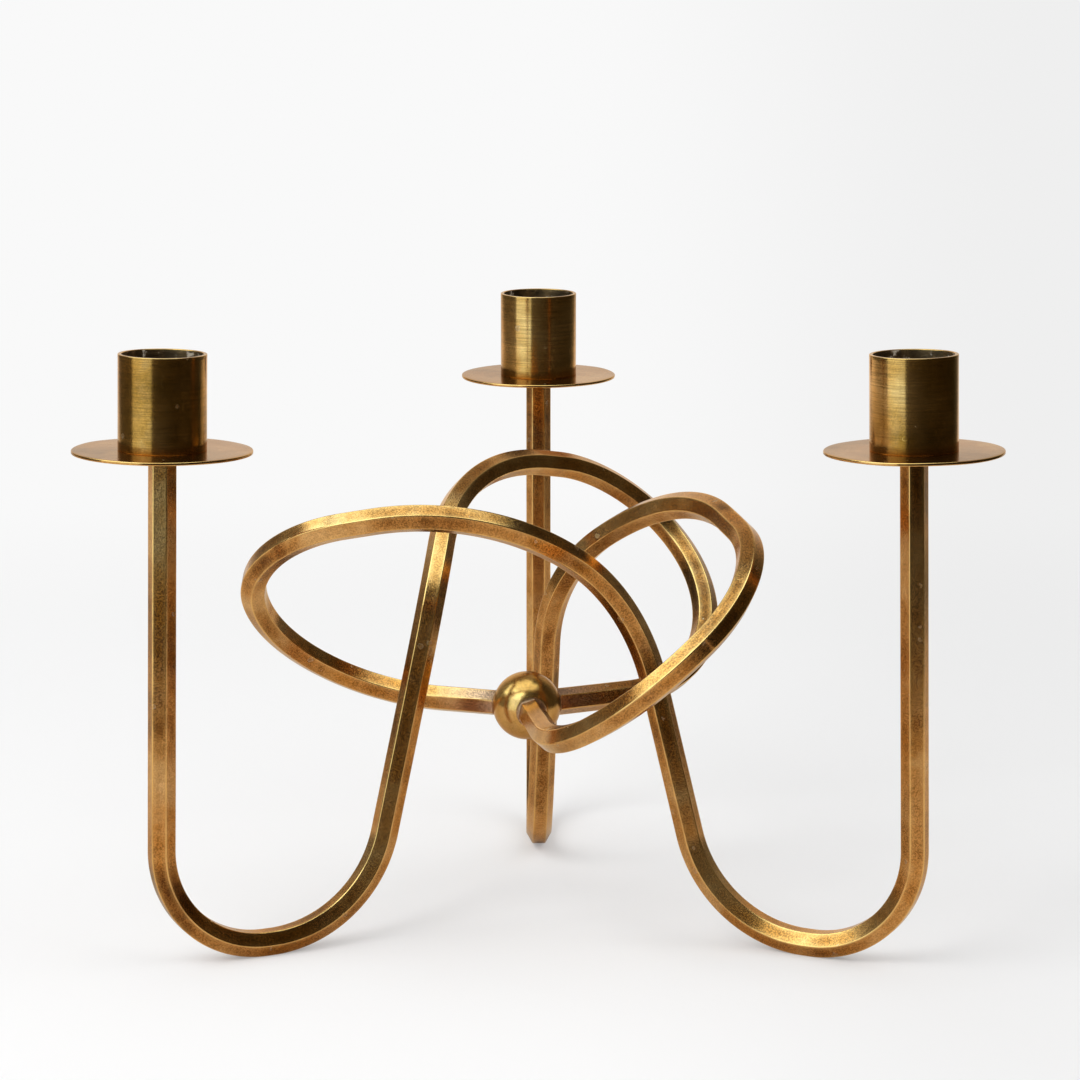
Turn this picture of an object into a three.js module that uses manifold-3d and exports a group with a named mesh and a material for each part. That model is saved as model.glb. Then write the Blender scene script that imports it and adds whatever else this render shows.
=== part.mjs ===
// Three-arm candelabra of hexagonal brass bar.
// Three rods, bent alike by hand, meet in one small ball. Each rod leaves the ball in a tilted loop
// that rises over the middle, comes down through the loop of its neighbour, turns round in a U that
// is the foot and ends in a stem with a drip pan and a candle cup, held by one screw. The stems lean
// in by about a degree, and the pans and cups lean with them.
// Millimetres, +Z up. The feet stand on Z = 0 and the origin is the middle of the outline.

import * as THREE from 'three';
import { mergeVertices } from 'three/addons/utils/BufferGeometryUtils.js';
import Module from 'manifold-3d';

const wasm = await Module();
wasm.setup();

// Clearances
const bareClearance = 0.3;   // round a spigot or a screw, and between a rod's end and the ball
const cutterSpare = 1;       // how far a body that cuts or joins runs on past the face that it meets

// Hexagonal bar
const barFlats = 7;          // across the flats

// Places of the arms, in degrees round the upright axis
const backArmAngle = 90;
const leftArmAngle = 205;
const rightArmAngle = 334.5;

// How much higher the top of each hand-bent loop stands than the route below
const backLoopLift = -2;
const leftLoopLift = 1.5;
const rightLoopLift = 0;

// Where the ball sits, off the middle of the arms
const ballRight = -3.5;
const ballHeight = 64;

// Rod route, seen from the middle: outwards, sideways (anticlockwise from above) and up
const stemReach = 117;       // foot of the stem
const stemTop = 146.5;       // where the drip pan rests
const stemLean = 1.1;        // degrees inwards
const footOuterBend = 30;    // bend between the stem and the foot
const footInnerReach = 55.5; // where the rising leg meets the ground line
const footInnerBend = 36.5;  // bend between the foot and the rising leg
const riseOut = 32.5;        // bend at the top of the rising leg
const riseSide = -3.5;
const riseUp = 97.5;
const riseBend = 56;
const crestOut = 7;          // bend over the crest of the loop
const crestSide = -43.5;
const crestUp = 131.5;
const crestBend = 63;
const farOut = -61.5;        // bend at the far end of the loop
const farSide = -65;
const farUp = 118.5;
const farBend = 36;
const returnOut = -75.5;     // bend where the loop turns back
const returnSide = -30.5;
const returnUp = 84.5;
const returnBend = 43;
const closeOut = -51;        // last bend, towards the ball
const closeSide = -4.5;
const closeUp = 63.5;
const closeBend = 42;
const leastLeg = 0.01;       // shorter straight stretches between two bends get no section
const bendStep = 5;          // degrees of bend between two sections of the bar

// Ball
const ballDiameter = 20;
const seatDiameter = 8.7;    // flat spot faced on the ball for each rod
const spigotDiameter = 4.5;  // turned end of the rod inside the ball
const spigotLength = 5;

// Rod top
const topChamfer = 0.6;      // how far the turned chamfer cuts into the flats
const chamferHeight = 1.1;
const chamferFlare = 1.2;    // how much wider the chamfer is at its foot, clear of the bar's corners

// Drip pan
const panDiameter = 50;
const panThickness = 0.9;
const panEdge = 0.25;        // rounding of the rim

// Candle cup
const cupDiameter = 24.5;
const cupWall = 1;
const cupHeight = 26.6;
const cupFloor = 1.2;
const cupBaseChamfer = 0.3;

// Cup screw
const threadDiameter = 4;
const threadReach = 9;       // how deep the screw goes into the rod
const holeSpare = 2;         // depth of the tapped hole beyond the screw
const headDiameter = 8;
const headHeight = 2.2;
const headRounding = 0.7;
const slotWidth = 1.1;
const slotDepth = 1;

// Smoothness
const roundSides = 48;
const smallSides = 24;
const ballSides = 32;
const mergeDistance = 1e-5;  // points closer than this are one

// Colours
const agedBrass = { color: 0x8a6a35, roughness: 0.34, metalness: 1 };
const panBrass = { color: 0xa68a5c, roughness: 0.3, metalness: 1 };
const cupBrass = { color: 0x8c7440, roughness: 0.32, metalness: 1 };
const ballBrass = { color: 0x9c7a3e, roughness: 0.22, metalness: 1 };
const screwBrass = { color: 0x7c6a45, roughness: 0.4, metalness: 1 };

// The three arms
const arms = [
  { place: 'back', angle: backArmAngle, loopLift: backLoopLift },
  { place: 'left', angle: leftArmAngle, loopLift: leftLoopLift },
  { place: 'right', angle: rightArmAngle, loopLift: rightLoopLift },
];

const radians = THREE.MathUtils.degToRad;
const upwards = new THREE.Vector3(0, 0, 1);

function mesh(name, geometry, finish) {
  const piece = new THREE.Mesh(geometry, new THREE.MeshStandardMaterial(finish));
  piece.name = name;
  return piece;
}

function toSolid(geometry) {
  const bare = geometry.clone();
  bare.deleteAttribute('normal');
  bare.deleteAttribute('uv');
  const merged = mergeVertices(bare, mergeDistance);
  return new wasm.Manifold(new wasm.Mesh({
    numProp: 3,
    vertProperties: new Float32Array(merged.attributes.position.array),
    triVerts: new Uint32Array(merged.index.array),
  }));
}

function toGeometry(solid) {
  const result = solid.getMesh();
  const geometry = new THREE.BufferGeometry();
  geometry.setAttribute('position', new THREE.BufferAttribute(result.vertProperties, 3));
  geometry.setIndex(new THREE.BufferAttribute(result.triVerts, 1));
  geometry.computeVertexNormals();
  return geometry;
}

// A body turned round +Z from [radius, height] pairs that start and end on the axis, going up
function turned(profile, sides) {
  const points = profile.map(([radius, height]) => new THREE.Vector2(radius, height));
  return new THREE.LatheGeometry(points, sides).rotateX(Math.PI / 2);
}

function turnedRod(diameter, bottom, top, sides) {
  const radius = diameter / 2;
  return turned([[0, bottom], [radius, bottom], [radius, top], [0, top]], sides);
}

// Corners of the bar's section: flats face in and out of the foot's U, corners point sideways
function barSection() {
  const corner = barFlats / Math.sqrt(3);
  const section = [];
  for (let side = 0; side < 6; side += 1) {
    const angle = radians(30 + 60 * side);
    section.push(new THREE.Vector2(Math.cos(angle), Math.sin(angle)).multiplyScalar(corner));
  }
  return section;
}

// How far out the top of a leaning stem stands
function stemTopReach() {
  return stemReach - (stemTop - barFlats / 2) * Math.tan(radians(stemLean));
}

// Middle of the ball as an arm sees it, with +X out along the arm
function ballFromArm({ angle }) {
  return new THREE.Vector3(ballRight, 0, ballHeight).applyAxisAngle(upwards, -radians(angle));
}

// Corners of a rod's route with the bend at each one, from the top of its stem to the ball
function rodCorners(arm) {
  const ground = barFlats / 2;
  return [
    { point: new THREE.Vector3(stemTopReach(), 0, stemTop), bend: 0 },
    { point: new THREE.Vector3(stemReach, 0, ground), bend: footOuterBend },
    { point: new THREE.Vector3(footInnerReach, 0, ground), bend: footInnerBend },
    { point: new THREE.Vector3(riseOut, riseSide, riseUp), bend: riseBend },
    { point: new THREE.Vector3(crestOut, crestSide, crestUp + arm.loopLift), bend: crestBend },
    { point: new THREE.Vector3(farOut, farSide, farUp + arm.loopLift), bend: farBend },
    { point: new THREE.Vector3(returnOut, returnSide, returnUp), bend: returnBend },
    { point: new THREE.Vector3(closeOut, closeSide, closeUp), bend: closeBend },
    { point: ballFromArm(arm), bend: 0 },
  ];
}

// How much of the legs on both sides each bend takes, shared out where two bends meet
function bendTangents(corners) {
  const legs = corners.slice(1).map((corner, i) => corner.point.clone().sub(corners[i].point));
  const wanted = corners.map(({ bend }, i) => {
    const turning = bend > 0 ? legs[i - 1].angleTo(legs[i]) : 0;
    return bend * Math.tan(turning / 2);
  });
  return wanted.map((tangent, i) => {
    const shares = legs.slice(Math.max(i - 1, 0), i + 1).map((leg, k) => {
      const first = Math.max(i - 1, 0) + k;
      return leg.length() / (wanted[first] + wanted[first + 1]);
    });
    return tangent * Math.min(1, ...shares);
  });
}

// Stations along straight legs and round bends, each with the bar's own directions. The bar keeps
// its flats through every bend without a twist, so each bend turns the directions about its axis.
function rodStations(arm, endGap) {
  const corners = rodCorners(arm);
  const tangents = bendTangents(corners);
  const lean = radians(stemLean);
  const frame = {
    across: new THREE.Vector3(Math.cos(lean), 0, Math.sin(lean)),
    sideways: new THREE.Vector3(0, -1, 0),
  };
  const stations = [{ point: corners[0].point, ...frame }];
  const add = (point) => {
    if (point.distanceTo(stations.at(-1).point) > leastLeg) {
      stations.push({ point, ...frame });
    }
  };
  for (let i = 1; i < corners.length - 1; i += 1) {
    const here = corners[i].point;
    const arrive = here.clone().sub(corners[i - 1].point).normalize();
    const leave = corners[i + 1].point.clone().sub(here).normalize();
    const axis = arrive.clone().cross(leave).normalize();
    const turning = arrive.angleTo(leave);
    const radius = tangents[i] / Math.tan(turning / 2);
    const start = here.clone().addScaledVector(arrive, -tangents[i]);
    const toCentre = axis.clone().cross(arrive);
    const centre = start.clone().addScaledVector(toCentre, radius);
    const across = frame.across;
    const sideways = frame.sideways;
    add(start);
    const steps = Math.ceil(turning / radians(bendStep));
    for (let step = 1; step <= steps; step += 1) {
      const angle = (turning * step) / steps;
      frame.across = across.clone().applyAxisAngle(axis, angle);
      frame.sideways = sideways.clone().applyAxisAngle(axis, angle);
      add(toCentre.clone().multiplyScalar(-radius).applyAxisAngle(axis, angle).add(centre));
    }
  }
  const end = corners.at(-1).point;
  const inward = end.clone().sub(corners.at(-2).point).normalize();
  stations.push({ point: end.clone().addScaledVector(inward, -endGap), ...frame });
  return stations;
}

// The bar swept through the stations, with flat ends
function sweep(section, stations) {
  const positions = [];
  for (const { point, across, sideways } of stations) {
    for (const corner of section) {
      const place = point.clone().addScaledVector(across, corner.x).addScaledVector(sideways, corner.y);
      positions.push(place.x, place.y, place.z);
    }
  }
  const sides = section.length;
  const triangles = [];
  for (let ring = 0; ring < stations.length - 1; ring += 1) {
    for (let side = 0; side < sides; side += 1) {
      const a = ring * sides + side;
      const b = ring * sides + ((side + 1) % sides);
      triangles.push(a, b, b + sides, a, b + sides, a + sides);
    }
  }
  const last = (stations.length - 1) * sides;
  for (let side = 1; side < sides - 1; side += 1) {
    triangles.push(0, side + 1, side, last, last + side, last + side + 1);
  }
  const geometry = new THREE.BufferGeometry();
  geometry.setAttribute('position', new THREE.Float32BufferAttribute(positions, 3));
  geometry.setIndex(triangles);
  return geometry;
}

// Distance from the ball's middle to the flat spot that a rod seats on
function seatDistance() {
  return Math.sqrt((ballDiameter / 2) ** 2 - (seatDiameter / 2) ** 2);
}

// Unit vector out of the ball along the end of a rod's route
function rodEndDirection(arm) {
  const corners = rodCorners(arm);
  return corners.at(-2).point.clone().sub(corners.at(-1).point).normalize();
}

// Turns a body that points along +Z so that it points out of the ball along the rod's end
function pointAlongRodEnd(geometry, arm) {
  const turn = new THREE.Quaternion().setFromUnitVectors(upwards, rodEndDirection(arm));
  const { x, y, z } = ballFromArm(arm);
  return geometry.applyQuaternion(turn).translate(x, y, z);
}

// Puts a body that stands on Z = 0 on top of the leaning stem
function onStem(geometry) {
  return geometry.rotateY(-radians(stemLean)).translate(stemTopReach(), 0, stemTop);
}

// One bent rod: hexagonal bar with a spigot at the ball and a chamfered, drilled top
function rodGeometry(arm) {
  const shoulder = seatDistance() + bareClearance;
  const bar = toSolid(sweep(barSection(), rodStations(arm, shoulder)));
  const spigot = turnedRod(
    spigotDiameter,
    seatDistance() - spigotLength,
    shoulder + cutterSpare,
    smallSides,
  );
  const chamferTop = barFlats / 2 - topChamfer;
  const outside = barFlats;
  const chamferRing = turned([
    [chamferTop, 0],
    [chamferTop + chamferFlare, -chamferHeight],
    [outside, -chamferHeight],
    [outside, cutterSpare],
    [chamferTop, cutterSpare],
    [chamferTop, 0],
  ], smallSides);
  const holeDiameter = threadDiameter + 2 * bareClearance;
  const hole = turnedRod(holeDiameter, -threadReach - holeSpare, cutterSpare, smallSides);
  return toGeometry(bar
    .add(toSolid(pointAlongRodEnd(spigot, arm)))
    .subtract(toSolid(onStem(chamferRing)))
    .subtract(toSolid(onStem(hole))));
}

// The ball with a faced flat and a drilled socket for each rod
function ballGeometry() {
  let ball = toSolid(new THREE.SphereGeometry(ballDiameter / 2, ballSides, ballSides / 2)
    .rotateX(Math.PI / 2).translate(ballRight, 0, ballHeight));
  const socketDiameter = spigotDiameter + 2 * bareClearance;
  const socketBottom = seatDistance() - spigotLength - bareClearance;
  for (const arm of arms) {
    const cutters = [
      turnedRod(ballDiameter, seatDistance(), ballDiameter, smallSides),
      turnedRod(socketDiameter, socketBottom, ballDiameter, smallSides),
    ];
    for (const cutter of cutters) {
      const swung = pointAlongRodEnd(cutter, arm).rotateZ(radians(arm.angle));
      ball = ball.subtract(toSolid(swung));
    }
  }
  return toGeometry(ball);
}

// Flat disc with a softened rim and a hole for the screw
function panGeometry() {
  const hole = threadDiameter / 2 + bareClearance;
  const rim = panDiameter / 2;
  return onStem(turned([
    [hole, 0],
    [rim - panEdge, 0],
    [rim, panEdge],
    [rim, panThickness - panEdge],
    [rim - panEdge, panThickness],
    [hole, panThickness],
    [hole, 0],
  ], roundSides));
}

// Plain cup with a thin floor, drilled for the screw
function cupGeometry() {
  const hole = threadDiameter / 2 + bareClearance;
  const outside = cupDiameter / 2;
  const inside = outside - cupWall;
  return onStem(turned([
    [hole, 0],
    [outside - cupBaseChamfer, 0],
    [outside, cupBaseChamfer],
    [outside, cupHeight],
    [inside, cupHeight],
    [inside, cupFloor],
    [hole, cupFloor],
    [hole, 0],
  ], roundSides).translate(0, 0, panThickness));
}

// Round-headed screw with a slot, its thread as a plain shank
function screwGeometry() {
  const seat = panThickness + cupFloor;
  const shank = threadDiameter / 2;
  const head = headDiameter / 2;
  const headTop = seat + headHeight;
  const screw = toSolid(turned([
    [0, -threadReach],
    [shank, -threadReach],
    [shank, seat],
    [head, seat],
    [head, headTop - headRounding],
    [head - headRounding, headTop],
    [0, headTop],
  ], smallSides));
  const slot = new THREE.BoxGeometry(headDiameter + cutterSpare, slotWidth, slotDepth * 2);
  return onStem(toGeometry(screw.subtract(toSolid(slot.translate(0, 0, headTop)))));
}

// Rod, drip pan, candle cup and screw, swung to their place round the middle
function armGroup(arm) {
  const group = new THREE.Group();
  group.add(mesh(`${arm.place}_rod`, rodGeometry(arm), agedBrass));
  group.add(mesh(`${arm.place}_drip_pan`, panGeometry(), panBrass));
  group.add(mesh(`${arm.place}_candle_cup`, cupGeometry(), cupBrass));
  group.add(mesh(`${arm.place}_cup_screw`, screwGeometry(), screwBrass));
  group.rotation.z = radians(arm.angle);
  return group;
}

const candelabra = new THREE.Group();
candelabra.add(mesh('centre_ball', ballGeometry(), ballBrass));
for (const arm of arms) {
  candelabra.add(armGroup(arm));
}

// Move the middle of the outline over the origin
const outline = new THREE.Box3().setFromObject(candelabra, true);
const middle = outline.getCenter(new THREE.Vector3());
candelabra.position.set(-middle.x, -middle.y, 0);
candelabra.updateMatrixWorld(true);

export default candelabra;
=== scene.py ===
"""Looks of a three-arm candelabra of bent hexagonal brass bar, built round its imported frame.

Metres, +Z up. Each piece stands where the frame has it. Its sizes are those that the frame was made
from, with the softened corners, wear and finish that the frame leaves out.
"""

import logging
import math
from dataclasses import dataclass, field
from enum import Enum

import bmesh
import bpy
from mathutils import Matrix, Quaternion, Vector, noise


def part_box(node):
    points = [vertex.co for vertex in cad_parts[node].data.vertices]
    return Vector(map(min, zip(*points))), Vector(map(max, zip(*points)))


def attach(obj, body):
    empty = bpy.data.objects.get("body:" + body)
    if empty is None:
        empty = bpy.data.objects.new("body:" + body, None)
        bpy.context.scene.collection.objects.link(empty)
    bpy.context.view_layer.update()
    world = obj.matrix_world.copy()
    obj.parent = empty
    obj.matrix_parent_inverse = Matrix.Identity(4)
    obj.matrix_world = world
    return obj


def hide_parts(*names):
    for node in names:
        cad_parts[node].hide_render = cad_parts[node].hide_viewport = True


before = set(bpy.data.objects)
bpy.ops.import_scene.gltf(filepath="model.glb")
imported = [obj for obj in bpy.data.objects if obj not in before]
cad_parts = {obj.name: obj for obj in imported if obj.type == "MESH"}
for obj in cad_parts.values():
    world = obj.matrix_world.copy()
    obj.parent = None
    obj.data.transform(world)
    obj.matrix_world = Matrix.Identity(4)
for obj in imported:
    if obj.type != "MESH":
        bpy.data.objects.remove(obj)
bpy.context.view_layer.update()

log = logging.getLogger("candelabra")

BODY = "root"
MM = 0.001
Profile = list[tuple[float, float, float]]
Socket = bpy.types.NodeSocket
# What an input takes: an output socket to link, or a plain value
Number = float | Socket
Colour = tuple[float, float, float] | Socket
Value = float | tuple | Socket
# Faces that meet at more than this angle keep a sharp edge
SHARP_ANGLE = math.radians(42)
# Parts of a rounded corner, and the most of a side that it may take
CORNER_PARTS = 4
LARGEST_CUT = 0.45


class Place(Enum):
    """Where an arm stands, seen from the front."""

    BACK = "back"
    LEFT = "left"
    RIGHT = "right"


class Slot(Enum):
    """The record's material slots."""

    BAR = "bar_brass"
    PAN = "pan_brass"
    CUP = "cup_brass"
    BALL = "ball_brass"
    SCREW = "screw_brass"


class Lay(Enum):
    """Which way the tool marks of a finish run."""

    ALONG_BAR = "along the bar"
    ROUND_WALL = "round an upright wall"
    FACED = "round the middle of a flat face"
    NONE = "no direction"


def for_place(place: Place, back: float, left: float, right: float) -> float:
    """Picks the value that belongs to an arm."""
    return {Place.BACK: back, Place.LEFT: left, Place.RIGHT: right}[place]


def add_object(name: str, data: bpy.types.ID) -> bpy.types.Object:
    """Adds an object to the scene.

    Args:
        name: Its name.
        data: Its mesh, lamp or camera.

    Returns:
        The object.
    """
    made = bpy.data.objects.new(name, data)
    bpy.context.scene.collection.objects.link(made)
    return made


class Board:
    """Places nodes in one tree and joins them."""

    def __init__(self, tree: bpy.types.NodeTree) -> None:
        """Starts on a tree."""
        self.tree = tree

    def add(self, kind: str, inputs: dict | None = None, **settings: object) -> bpy.types.Node:
        """Adds a node.

        Args:
            kind: Type name of the node.
            inputs: Sockets to link or values to set, by the input's name or number.
            settings: Properties of the node itself.

        Returns:
            The new node.
        """
        node = self.tree.nodes.new(kind)
        for name, value in settings.items():
            setattr(node, name, value)
        for name, value in (inputs or {}).items():
            self.put(node.inputs[name], value)
        return node

    def put(self, socket: Socket, value: Value) -> None:
        """Links a socket or sets its value.

        Args:
            socket: Input socket.
            value: Output socket to link, or a number, colour or vector to set.
        """
        if isinstance(value, Socket):
            self.tree.links.new(value, socket)
        elif socket.type == "RGBA" and len(value) == 3:
            socket.default_value = (*value, 1.0)
        else:
            socket.default_value = value

    def math(self, operation: str, first: Number, second: Number = 0.0, clamp: bool = False) -> Socket:
        """Adds a Math node."""
        node = self.add("ShaderNodeMath", {0: first, 1: second}, operation=operation, use_clamp=clamp)
        return node.outputs[0]

    def span(self, value: Socket, low: float, high: float, start: float = 0.0, end: float = 1.0) -> Socket:
        """Maps a range of values smoothly onto another.

        Args:
            value: Socket to map.
            low: Value that becomes start.
            high: Value that becomes end.
            start: Result at and below low.
            end: Result at and above high.

        Returns:
            The mapped output socket.
        """
        inputs = {"Value": value, "From Min": low, "From Max": high, "To Min": start, "To Max": end}
        node = self.add("ShaderNodeMapRange", inputs, interpolation_type="SMOOTHSTEP")
        return node.outputs["Result"]

    def blend(self, share: Number, first: Colour, second: Colour) -> Socket:
        """Mixes two colours.

        Args:
            share: Share of the second colour, as a socket or a number.
            first: First colour.
            second: Second colour.

        Returns:
            The mixed colour.
        """
        node = self.add("ShaderNodeMix", data_type="RGBA")
        for name, value in (("Factor_Float", share), ("A_Color", first), ("B_Color", second)):
            self.put(next(s for s in node.inputs if s.identifier == name), value)
        return next(s for s in node.outputs if s.identifier == "Result_Color")

    def ramp(self, value: Socket, stops: tuple) -> Socket:
        """Maps a value from 0 to 1 onto colours.

        Args:
            value: Socket to map.
            stops: Pairs of a place from 0 to 1 and the colour there.

        Returns:
            The colour.
        """
        node = self.add("ShaderNodeValToRGB", {"Fac": value})
        elements = node.color_ramp.elements
        while len(elements) < len(stops):
            elements.new(0.5)
        for element, (place, colour) in zip(elements, stops):
            element.position = place
            element.color = (*colour, 1.0)
        return node.outputs["Color"]

    def stretch(self, vector: Socket, scale: tuple[float, float, float]) -> Socket:
        """Scales a vector along each axis."""
        node = self.add("ShaderNodeVectorMath", {0: vector, 1: scale}, operation="MULTIPLY")
        return node.outputs[0]

    def dim(self, colour: Socket, factor: Number) -> Socket:
        """Multiplies a colour by a number."""
        node = self.add("ShaderNodeVectorMath", {0: colour, "Scale": factor}, operation="SCALE")
        return node.outputs[0]

    def noise(self, vector: Socket, scale: Number, detail: float, rough: float) -> Socket:
        """Adds a noise texture."""
        inputs = {"Vector": vector, "Scale": scale, "Detail": detail, "Roughness": rough}
        return self.add("ShaderNodeTexNoise", inputs).outputs["Fac"]

    def tint(self, colour: Socket, mask: Socket, share: float, towards: Colour) -> Socket:
        """Tints a colour where a mask says so."""
        return self.blend(self.math("MULTIPLY", mask, share), colour, towards)

    def total(self, start: Number, parts: tuple) -> Socket:
        """Adds products to a number.

        Args:
            start: Number or socket to add to.
            parts: Pairs of a socket and its factor.

        Returns:
            The sum.
        """
        for socket, factor in parts:
            start = self.math("ADD", start, self.math("MULTIPLY", socket, factor))
        return start

    def group(self, tree: bpy.types.NodeTree, inputs: dict) -> bpy.types.Node:
        """Places a shared group."""
        return self.add("ShaderNodeGroup", inputs, node_tree=tree)

    def own_place(self) -> Socket:
        """Gives coordinates in metres that differ from piece to piece.

        Returns:
            The vector.
        """
        own = self.add("ShaderNodeTexCoord").outputs["Object"]
        spot = self.add("ShaderNodeObjectInfo").outputs["Location"]
        return self.add("ShaderNodeVectorMath", {0: own, 1: spot}, operation="ADD").outputs[0]

    def bump(self, height: Socket, distance: float) -> Socket:
        """Turns heights into a normal."""
        inputs = {"Strength": 1.0, "Distance": distance, "Height": height}
        return self.add("ShaderNodeBump", inputs).outputs["Normal"]

    def end(self, shader: bpy.types.Node, kind: str = "ShaderNodeOutputMaterial") -> None:
        """Joins a shader to the tree's output."""
        self.put(self.add(kind).inputs["Surface"], shader.outputs[0])


def blank_material(name: str) -> tuple[bpy.types.Material, Board]:
    """Starts a material with no nodes.

    Args:
        name: Its name.

    Returns:
        The material and the board of its nodes.
    """
    made = bpy.data.materials.new(name)
    made.use_nodes = True
    made.node_tree.nodes.clear()
    return made, Board(made.node_tree)


@dataclass(frozen=True)
class Layer:
    """One layer of noise in the patina, with the range of it that is spread from 0 to 1."""

    name: str
    scale: float
    detail: float
    rough: float
    low: float
    high: float


@dataclass
class Effects:
    """Shader node groups that the brass finishes share, each built once. Scales are features in a metre."""

    layers: tuple[Layer, ...] = (
        Layer("Clouds", 26.0, 4.0, 0.6, 0.33, 0.67),
        Layer("Blotches", 170.0, 5.0, 0.64, 0.3, 0.7),
        Layer("Grain", 2250.0, 3.0, 0.72, 0.38, 0.62),
        Layer("Warmth", 37.0, 4.0, 0.55, 0.48, 0.66),
        Layer("Film", 83.0, 5.0, 0.66, 0.5, 0.66),
    )
    drop_wobble_scale: float = 900.0
    drop_wobble: float = 0.0016
    drop_ring: float = 0.05
    drop_edge: float = 0.06
    # Patches along the bright corners, which are partly rubbed wear and partly a painted edge highlight
    rub_highlight_scale: float = 90.0
    rub_highlight_range: tuple[float, float] = (0.3, 0.62)
    least_rub_highlight: float = 0.35
    dark_line_stretch: float = 0.6
    dark_line_range: tuple[float, float] = (0.5, 0.7)
    hair_width: float = 0.006
    hair_patch_scale: float = 260.0
    hair_patch_range: tuple[float, float] = (0.58, 0.66)

    def __post_init__(self) -> None:
        """Builds all the groups."""
        self.mottle = self.build_mottle()
        self.marks = self.build_marks()
        # Bright corners: partly rubbed wear, partly a painted edge highlight
        self.wear = self.build_worn_highlit_corners()
        self.lines = self.build_lines()
        self.hairlines = self.build_hairlines()

    def start(self, name: str, inputs: dict, outputs: list[str]) -> tuple[Board, dict, bpy.types.Node]:
        """Starts a group with named sockets.

        Args:
            name: Name of the group.
            inputs: Default of each input, None for a vector.
            outputs: Names of the outputs, all of them values.

        Returns:
            The board, the input sockets by name and the group's output node.
        """
        tree = bpy.data.node_groups.new(name, "ShaderNodeTree")
        for label, default in inputs.items():
            kind = "NodeSocketVector" if default is None else "NodeSocketFloat"
            socket = tree.interface.new_socket(label, in_out="INPUT", socket_type=kind)
            if default is not None:
                socket.default_value = default
        for label in outputs:
            tree.interface.new_socket(label, in_out="OUTPUT", socket_type="NodeSocketFloat")
        board = Board(tree)
        entry = board.add("NodeGroupInput")
        exit_node = board.add("NodeGroupOutput")
        return board, {label: entry.outputs[label] for label in inputs}, exit_node

    def build_mottle(self) -> bpy.types.NodeTree:
        """Patina in sizes from clouds to grain, with where it runs to orange and where a film lies on it.

        Returns:
            The group.
        """
        scales = {f"{layer.name} Scale": layer.scale for layer in self.layers}
        names = [layer.name for layer in self.layers]
        board, given, out = self.start("patina_mottle", {"Vector": None, **scales}, names)
        for layer in self.layers:
            scale = given[f"{layer.name} Scale"]
            value = board.noise(given["Vector"], scale, layer.detail, layer.rough)
            board.put(out.inputs[layer.name], board.span(value, layer.low, layer.high))
        return board.tree

    def build_marks(self) -> bpy.types.NodeTree:
        """Dried drops: a pale ring and a dull inside, in some cells of a Voronoi pattern.

        Returns:
            The group.
        """
        sizes = {"Vector": None, "Scale": 330.0, "Share": 0.12, "Reach": 0.22}
        board, given, out = self.start("dried_drops", sizes, ["Ring", "Inside"])
        inputs = {"Vector": given["Vector"], "Scale": self.drop_wobble_scale}
        wobble = board.add("ShaderNodeTexNoise", inputs)
        shift = board.stretch(wobble.outputs["Color"], (self.drop_wobble,) * 3)
        bent = board.add("ShaderNodeVectorMath", {0: given["Vector"], 1: shift}, operation="ADD")
        cells = board.add("ShaderNodeTexVoronoi", {"Vector": bent.outputs[0], "Scale": given["Scale"]})
        chosen = board.add("ShaderNodeSeparateColor", {"Color": cells.outputs["Color"]})
        here = board.math("LESS_THAN", chosen.outputs["Red"], given["Share"])
        size = board.math("MULTIPLY", board.math("ADD", chosen.outputs["Green"], 0.5), given["Reach"])
        gap = board.math("SUBTRACT", cells.outputs["Distance"], size)
        ring = board.span(board.math("ABSOLUTE", gap), 0.0, self.drop_ring, 1.0, 0.0)
        inside = board.span(gap, -self.drop_edge, 0.0, 1.0, 0.0)
        board.put(out.inputs["Ring"], board.math("MULTIPLY", ring, here))
        board.put(out.inputs["Inside"], board.math("MULTIPLY", inside, here))
        return board.tree

    def build_worn_highlit_corners(self) -> bpy.types.NodeTree:
        """Corners rubbed bright, partly real wear and partly a painted edge highlight, broken up along
        their length.

        Returns:
            The group.
        """
        board, given, out = self.start("worn_corners", {"Vector": None, "Corner": 0.0}, ["Bright"])
        patchy = board.noise(given["Vector"], self.rub_highlight_scale, 5.0, 0.65)
        strength = board.span(patchy, *self.rub_highlight_range, self.least_rub_highlight, 1.0)
        board.put(out.inputs["Bright"], board.math("MULTIPLY", given["Corner"], strength, True))
        return board.tree

    def build_lines(self) -> bpy.types.NodeTree:
        """Tool marks, as noise in coordinates that are already drawn out along the tool's way.

        Returns:
            The group.
        """
        board, given, out = self.start("tool_lines", {"Vector": None}, ["Fine", "Dark"])
        fine = board.noise(given["Vector"], 1.0, 2.0, 0.6)
        wide = board.stretch(given["Vector"], (self.dark_line_stretch,) * 3)
        dark = board.noise(wide, 1.0, 2.0, 0.6)
        board.put(out.inputs["Fine"], fine)
        board.put(out.inputs["Dark"], board.span(dark, *self.dark_line_range))
        return board.tree

    def build_hairlines(self) -> bpy.types.NodeTree:
        """Single thin scratches from handling, in sparse patches.

        Returns:
            The group.
        """
        board, given, out = self.start("hairlines", {"Vector": None, "Scale": 130.0}, ["Scratch"])
        way = board.noise(given["Vector"], given["Scale"], 1.0, 0.4)
        off_line = board.math("ABSOLUTE", board.math("SUBTRACT", way, 0.5))
        line = board.span(off_line, 0.0, self.hair_width, 1.0, 0.0)
        where = board.noise(given["Vector"], self.hair_patch_scale, 2.0, 0.5)
        patch = board.span(where, *self.hair_patch_range)
        board.put(out.inputs["Scratch"], board.math("MULTIPLY", line, patch))
        return board.tree


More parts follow.
